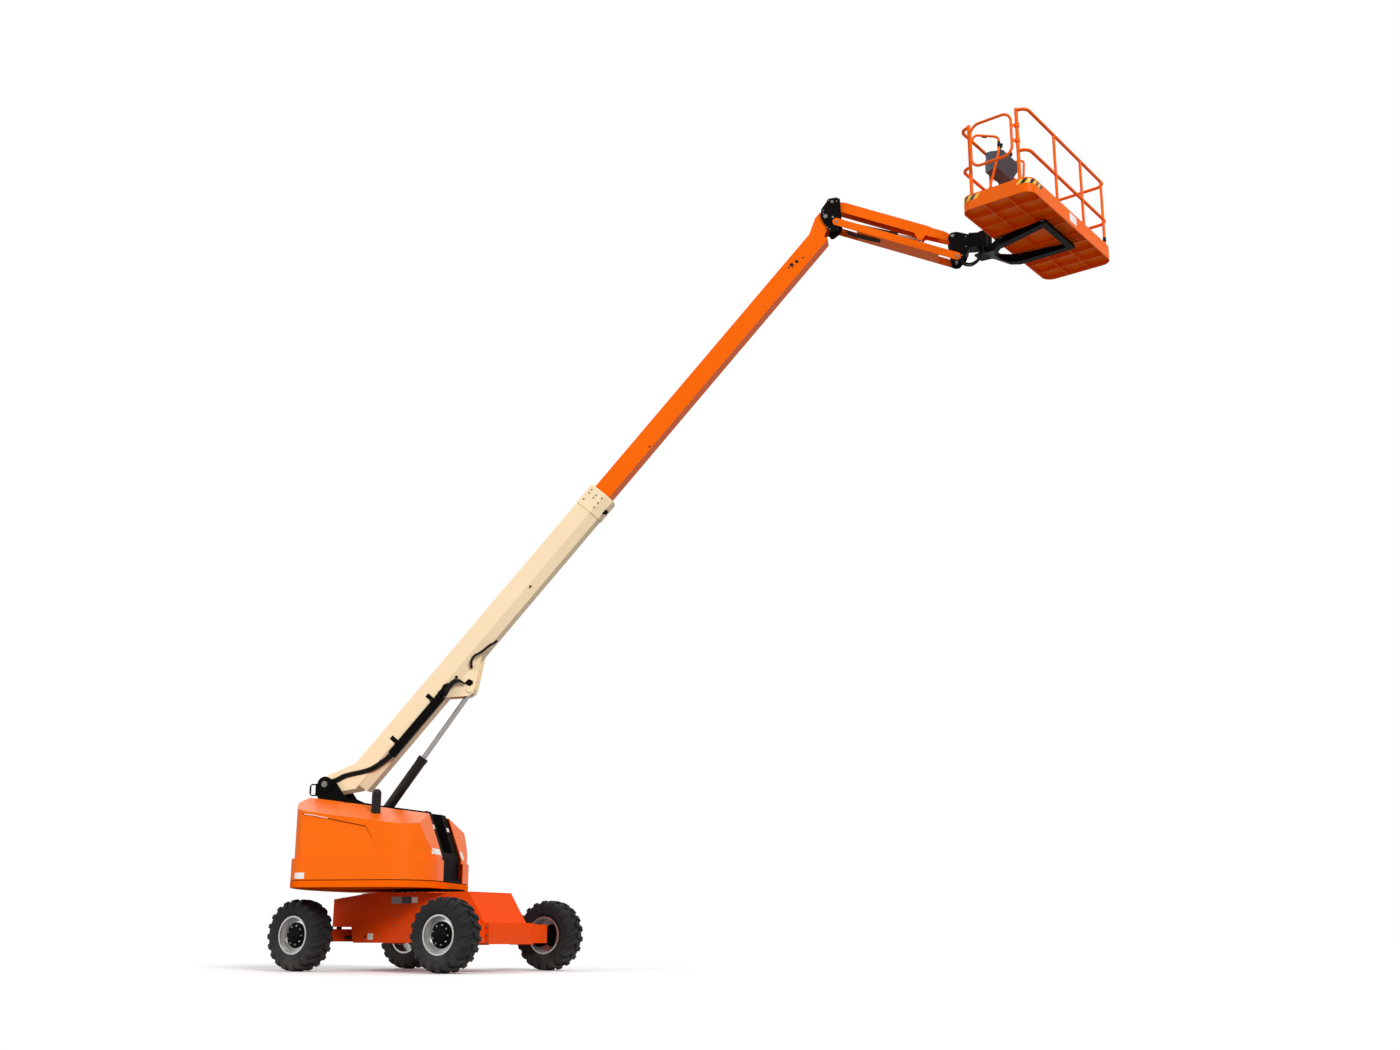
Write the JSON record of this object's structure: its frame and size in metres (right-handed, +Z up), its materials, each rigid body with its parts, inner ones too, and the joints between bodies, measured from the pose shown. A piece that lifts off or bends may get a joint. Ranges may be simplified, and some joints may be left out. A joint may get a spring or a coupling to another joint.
{
  "type": "self-propelled telescopic boom lift",
  "caption": "Telescopic boom lift: wheeled chassis, swinging turntable with hoods, two-section boom, jib and a rotating work platform.",
  "frame": {"origin": "on the ground under the middle of the machine's bounding box", "axes": "+X from the steer axle to the drive axle, +Y to the left of that, +Z up"},
  "size_m": [9.4997, 5.3432, 10.1297],
  "materials": {
    "black_paint": "satin",
    "cast_weight": "satin",
    "chassis_paint": "gloss",
    "console_plastic": "matte",
    "cream_paint": "gloss",
    "engine_metal": "cast",
    "hood_skin": "gloss",
    "orange_paint": "gloss",
    "pad_plastic": "matte",
    "rim_silver": "satin",
    "rod_chrome": "polished",
    "steel": "brushed",
    "tyre_rubber": "matte"
  },
  "bodies": {
    "chassis": {"chassis_box": "chassis_paint", "bearing_plate": "chassis_paint", "swing_bearing": "steel", "drive_axle": "chassis_paint", "wheel_motors": "black_paint", "steer_beam": "chassis_paint", "kingpins": "steel", "steer_cylinder": "black_paint"},
    "tie_rod": {"tie_rod": "rod_chrome"},
    "left_knuckle": {"knuckle_left": "black_paint"},
    "right_knuckle": {"knuckle_right": "black_paint"},
    "turntable": {"turntable_deck": "orange_paint", "counterweight": "cast_weight", "boom_uprights": "black_paint", "boom_pivot_pin": "steel", "lift_base_pin": "steel", "front_cowl": "black_paint", "engine_block": "engine_metal", "hood_hinges": "black_paint"},
    "right_hood": {"hood_right": "hood_skin", "exhaust_stack": "black_paint"},
    "left_hood": {"hood_left": "hood_skin"},
    "boom": {"boom_base_section": "cream_paint", "lift_gusset": "cream_paint", "hose_tray": "black_paint", "wear_pads": "pad_plastic"},
    "fly": {"boom_fly_section": "orange_paint", "tip_pin": "steel"},
    "lift_barrel": {"lift_barrel": "black_paint"},
    "lift_rod": {"lift_rod": "rod_chrome"},
    "knuckle": {"tip_knuckle": "black_paint", "knuckle_pins": "steel"},
    "jib_lower": {"jib_lower_arm": "orange_paint"},
    "jib_upper": {"jib_upper_arm": "orange_paint"},
    "jib_barrel": {"jib_barrel": "black_paint"},
    "jib_rod": {"jib_rod": "rod_chrome"},
    "jib_head": {"jib_head": "black_paint", "head_pins": "steel", "rotary_actuator": "black_paint"},
    "platform": {"platform_support": "black_paint", "platform_floor": "orange_paint", "toe_board": "orange_paint", "platform_rails": "orange_paint", "control_console": "console_plastic"},
    "gate": {"platform_gate": "orange_paint"},
    "wheel_steer_left": {"tyre_steer_left": "tyre_rubber", "rim_steer_left": "rim_silver"},
    "wheel_steer_right": {"tyre_steer_right": "tyre_rubber", "rim_steer_right": "rim_silver"},
    "wheel_drive_left": {"tyre_drive_left": "tyre_rubber", "rim_drive_left": "rim_silver"},
    "wheel_drive_right": {"tyre_drive_right": "tyre_rubber", "rim_drive_right": "rim_silver"}
  },
  "joints": [
    {"name": "boom_lift", "type": "hinge", "parent": "turntable", "child": "boom", "pos_m": [-4.33022, -1.69018, 2.24], "axis": [0.3827, -0.9239, 0], "range_deg": [-55, 25]},
    {"name": "boom_telescope", "type": "slide", "parent": "boom", "child": "fly", "axis": [0.5939, 0.246, 0.766], "range_m": [-3.95, 0.1]},
    {"name": "boom_lift_barrel", "type": "hinge", "parent": "turntable", "child": "lift_barrel", "pos_m": [-4.05121, -1.57461, 1.321], "axis": [0.3827, -0.9239, 0], "range_deg": [-46.21, 21.01]},
    {"name": "boom_lift_rod", "type": "slide", "parent": "lift_barrel", "child": "lift_rod", "axis": [0.53, 0.2195, 0.8191], "range_m": [-0.82564, 0.37535]},
    {"name": "knuckle_level", "type": "hinge", "parent": "fly", "child": "knuckle", "pos_m": [1.52695, 0.73594, 9.55274], "axis": [0.3827, -0.9239, 0], "range_deg": [-25.01, 55.01]},
    {"name": "jib_lift", "type": "hinge", "parent": "knuckle", "child": "jib_lower", "pos_m": [1.6563, 0.78952, 9.47274], "axis": [-0.3827, 0.9239, 0], "range_deg": [-96.1, 33.9]},
    {"name": "jib_upper_link", "type": "hinge", "parent": "knuckle", "child": "jib_upper", "pos_m": [1.6101, 0.77038, 9.75774], "axis": [-0.3827, 0.9239, 0], "range_deg": [-96.11, 33.91]},
    {"name": "jib_head_level", "type": "hinge", "parent": "jib_lower", "child": "jib_head", "pos_m": [3.06987, 1.37504, 8.88234], "axis": [-0.3827, 0.9239, 0], "range_deg": [-33.91, 96.11]},
    {"name": "jib_barrel_turn", "type": "hinge", "parent": "knuckle", "child": "jib_barrel", "pos_m": [1.61472, 0.7723, 9.54774], "axis": [-0.3827, 0.9239, 0], "range_deg": [-93.23, 32.89]},
    {"name": "jib_rod_slide", "type": "slide", "parent": "jib_barrel", "child": "jib_rod", "axis": [-0.8825, -0.3655, 0.2959], "range_m": [-0.28523, 0.10068]},
    {"name": "platform_rotate", "type": "hinge", "parent": "jib_head", "child": "platform", "pos_m": [3.40635, 1.51441, 8.94], "axis": [0, 0, 1], "range_deg": [-60.2, 119.8]},
    {"name": "platform_gate_swing", "type": "hinge", "parent": "platform", "child": "gate", "pos_m": [4.31151, 0.19873, 8.94], "axis": [0, 0, -1], "range_deg": [0, 90]},
    {"name": "hood_right_lift", "type": "hinge", "parent": "turntable", "child": "right_hood", "pos_m": [-4.06819, -2.00919, 2.03], "axis": [-0.9152, -0.3791, 0.1367], "range_deg": [0, 60]},
    {"name": "hood_left_lift", "type": "hinge", "parent": "turntable", "child": "left_hood", "pos_m": [-4.37051, -1.27933, 2.03], "axis": [0.9152, 0.3791, -0.1367], "range_deg": [0, 60]},
    {"name": "steer_right", "type": "hinge", "parent": "chassis", "child": "right_knuckle", "pos_m": [-4.2257, -1.97504, 0.419], "axis": [0, 0, 1], "range_deg": [-30, 30]},
    {"name": "steer_left", "type": "hinge", "parent": "chassis", "child": "left_knuckle", "pos_m": [-4.2257, -0.39504, 0.419], "axis": [0, 0, 1], "range_deg": [-30.01, 30.01]},
    {"name": "tie_rod_slide", "type": "slide", "parent": "chassis", "child": "tie_rod", "axis": [0, -1, 0], "range_m": [-0.0902, 0.0902]},
    {"name": "turntable_swing", "type": "hinge", "parent": "chassis", "child": "turntable", "pos_m": [-3.1107, -1.18504, 0], "axis": [0, 0, 1], "continuous": true},
    {"name": "roll_steer_left", "type": "hinge", "parent": "left_knuckle", "child": "wheel_steer_left", "pos_m": [-4.2257, -0.19504, 0.419], "axis": [0, 1, 0], "continuous": true},
    {"name": "roll_steer_right", "type": "hinge", "parent": "right_knuckle", "child": "wheel_steer_right", "pos_m": [-4.2257, -2.17504, 0.419], "axis": [0, 1, 0], "continuous": true},
    {"name": "roll_drive_left", "type": "hinge", "parent": "chassis", "child": "wheel_drive_left", "pos_m": [-1.9957, -0.19504, 0.419], "axis": [0, 1, 0], "continuous": true},
    {"name": "roll_drive_right", "type": "hinge", "parent": "chassis", "child": "wheel_drive_right", "pos_m": [-1.9957, -2.17504, 0.419], "axis": [0, 1, 0], "continuous": true}
  ],
  "couplings": [
    {"joint": "boom_lift_barrel", "follows": "boom_lift", "ratio": 0.84},
    {"joint": "boom_lift_rod", "follows": "boom_lift", "m_per_rad": 0.86},
    {"joint": "knuckle_level", "follows": "boom_lift", "ratio": -1},
    {"joint": "jib_upper_link", "follows": "jib_lift", "ratio": 1},
    {"joint": "jib_head_level", "follows": "jib_lift", "ratio": -1},
    {"joint": "jib_barrel_turn", "follows": "jib_lift", "ratio": 0.97},
    {"joint": "jib_rod_slide", "follows": "jib_lift", "m_per_rad": 0.17},
    {"joint": "steer_left", "follows": "steer_right", "ratio": 1},
    {"joint": "tie_rod_slide", "follows": "steer_right", "m_per_rad": 0.17}
  ]
}
